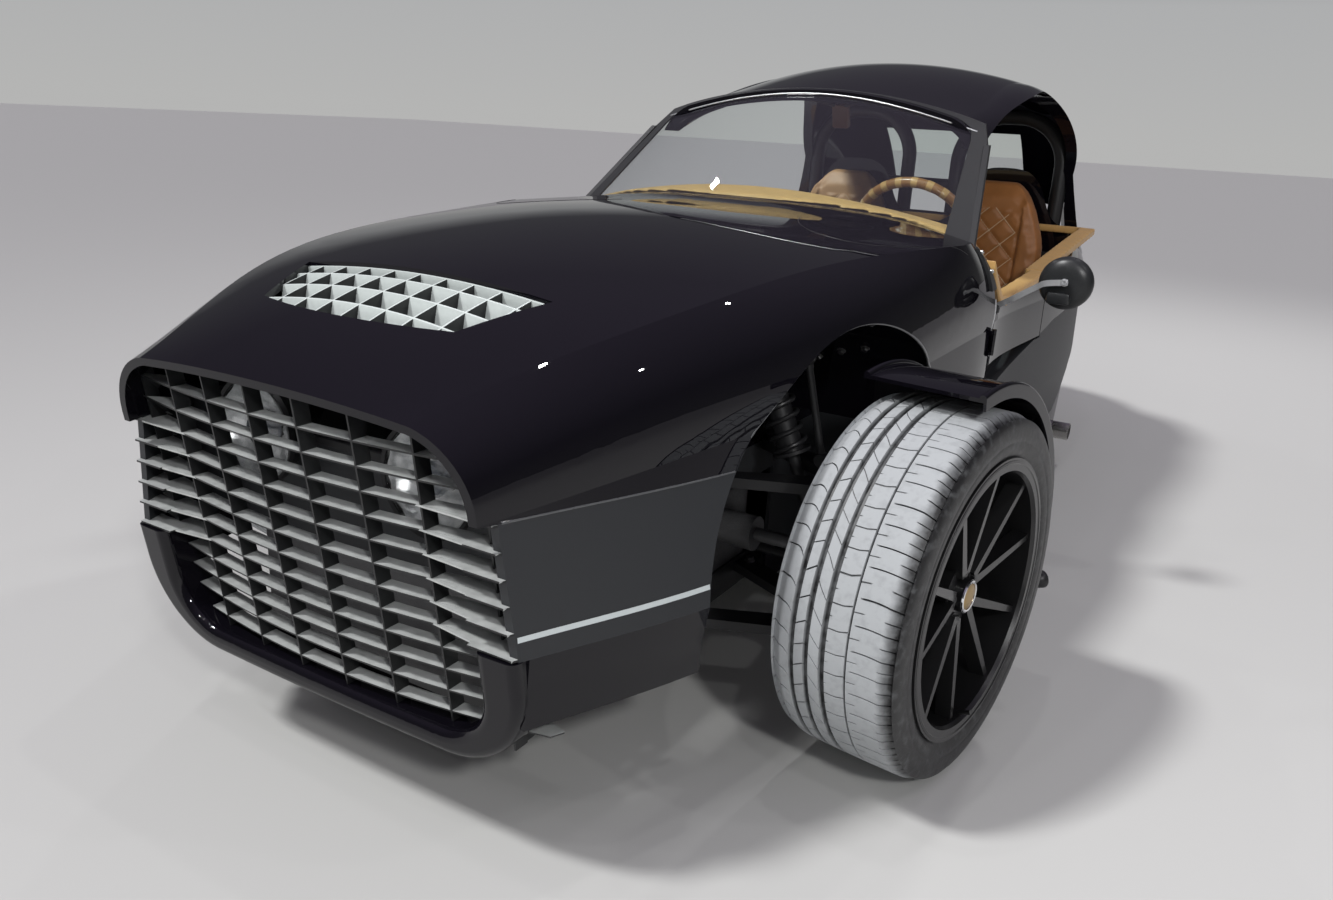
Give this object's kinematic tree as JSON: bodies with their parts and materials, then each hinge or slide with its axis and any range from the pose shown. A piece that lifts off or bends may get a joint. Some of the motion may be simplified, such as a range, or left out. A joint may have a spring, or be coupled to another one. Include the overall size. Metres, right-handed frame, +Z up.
{
  "type": "three-wheeled roadster",
  "caption": "Low three-wheeled roadster with removable hard top, steered front wheels under cycle fenders, opening half doors and an open nose grille of crossed blades.",
  "frame": {"origin": "on the ground under the middle of the car's bounding box", "axes": "+Z up, the front faces -Y, +X is the car's left side"},
  "size_m": [1.7678, 3.6851, 1.281],
  "materials": {
    "body_black": "gloss",
    "band_grey": "satin",
    "grille_black": "satin",
    "vent_grey": "satin",
    "lamp_clear": "clear",
    "lamp_red": "gloss",
    "core_alloy": "cast",
    "tub_black": "matte",
    "trim_tan": "satin",
    "seat_tan": "satin",
    "screen_clear": "clear",
    "frame_grey": "matte",
    "gear_black": "satin",
    "mirror_black": "gloss",
    "wheel_black": "gloss",
    "tyre": "matte",
    "pipe_steel": "brushed",
    "rim_wood": "varnished"
  },
  "bodies": {
    "chassis": {"band_front": "band_grey", "band_rear_left": "band_grey", "band_rear_right": "band_grey", "chin": "body_black", "dash": "trim_tan", "engine": "core_alloy", "exhaust": "pipe_steel", "grille": "grille_black", "headlamps": "lamp_clear", "hood_vent": "vent_grey", "lower_arm_left": "gear_black", "lower_arm_right": "gear_black", "nose_shell": "body_black", "radiator": "core_alloy", "rear_glass": "screen_clear", "rim_pad": "trim_tan", "roll_hoops": "gear_black", "roof_shell": "body_black", "screen_frame": "frame_grey", "screen_glass": "screen_clear", "seat_left": "seat_tan", "seat_right": "seat_tan", "shock_left": "gear_black", "shock_right": "gear_black", "skirt_left": "body_black", "skirt_right": "body_black", "steering_column": "gear_black", "swing_arm": "gear_black", "tail_lamp_left": "lamp_red", "tail_lamp_right": "lamp_red", "tail_shell": "body_black", "tie_rod_left": "gear_black", "tie_rod_right": "gear_black", "tub": "tub_black", "upper_arm_left": "gear_black", "upper_arm_right": "gear_black"},
    "front_left_upright": {"knuckle_left": "gear_black", "fender_left": "body_black"},
    "front_left_wheel": {"tyre_left": "tyre", "rim_left": "wheel_black"},
    "front_right_upright": {"knuckle_right": "gear_black", "fender_right": "body_black"},
    "front_right_wheel": {"tyre_right": "tyre", "rim_right": "wheel_black"},
    "rear_wheel": {"rear_tyre": "tyre", "rear_rim": "wheel_black"},
    "left_door": {"door_left": "body_black", "door_pad_left": "trim_tan", "mirror_left": "mirror_black"},
    "right_door": {"door_right": "body_black", "door_pad_right": "trim_tan", "mirror_right": "mirror_black"},
    "steering_wheel": {"steering_wheel": "rim_wood"}
  },
  "joints": [
    {"name": "steer_left", "type": "hinge", "parent": "chassis", "child": "front_left_upright", "pos_m": [0.645, -1.05, 0.3235], "axis": [0, 0, 1], "range_deg": [-20, 36]},
    {"name": "steer_right", "type": "hinge", "parent": "chassis", "child": "front_right_upright", "pos_m": [-0.645, -1.05, 0.3235], "axis": [0, 0, 1], "range_deg": [-20, 36]},
    {"name": "spin_front_left", "type": "hinge", "parent": "front_left_upright", "child": "front_left_wheel", "pos_m": [0.73016, -1.06197, 0.3235], "axis": [0.9903, -0.1392, 0], "continuous": true},
    {"name": "spin_front_right", "type": "hinge", "parent": "front_right_upright", "child": "front_right_wheel", "pos_m": [-0.73016, -1.03803, 0.3235], "axis": [0.9903, -0.1392, 0], "continuous": true},
    {"name": "spin_rear", "type": "hinge", "parent": "chassis", "child": "rear_wheel", "pos_m": [0, 1.49, 0.328], "axis": [1, 0, 0], "continuous": true},
    {"name": "door_hinge_left", "type": "hinge", "parent": "chassis", "child": "left_door", "pos_m": [0.624, -0.322, 0.6], "axis": [0, 0, -1], "range_deg": [0, 60]},
    {"name": "door_hinge_right", "type": "hinge", "parent": "chassis", "child": "right_door", "pos_m": [-0.624, -0.322, 0.6], "axis": [0, 0, 1], "range_deg": [0, 60]},
    {"name": "steering_turn", "type": "hinge", "parent": "chassis", "child": "steering_wheel", "pos_m": [0.285, 0.067, 0.804], "axis": [0, 0.9063, 0.4226], "range_deg": [-290, 510]}
  ],
  "couplings": [
    {"joint": "steer_right", "follows": "steer_left", "ratio": 1},
    {"joint": "steering_turn", "follows": "steer_left", "ratio": 14}
  ]
}
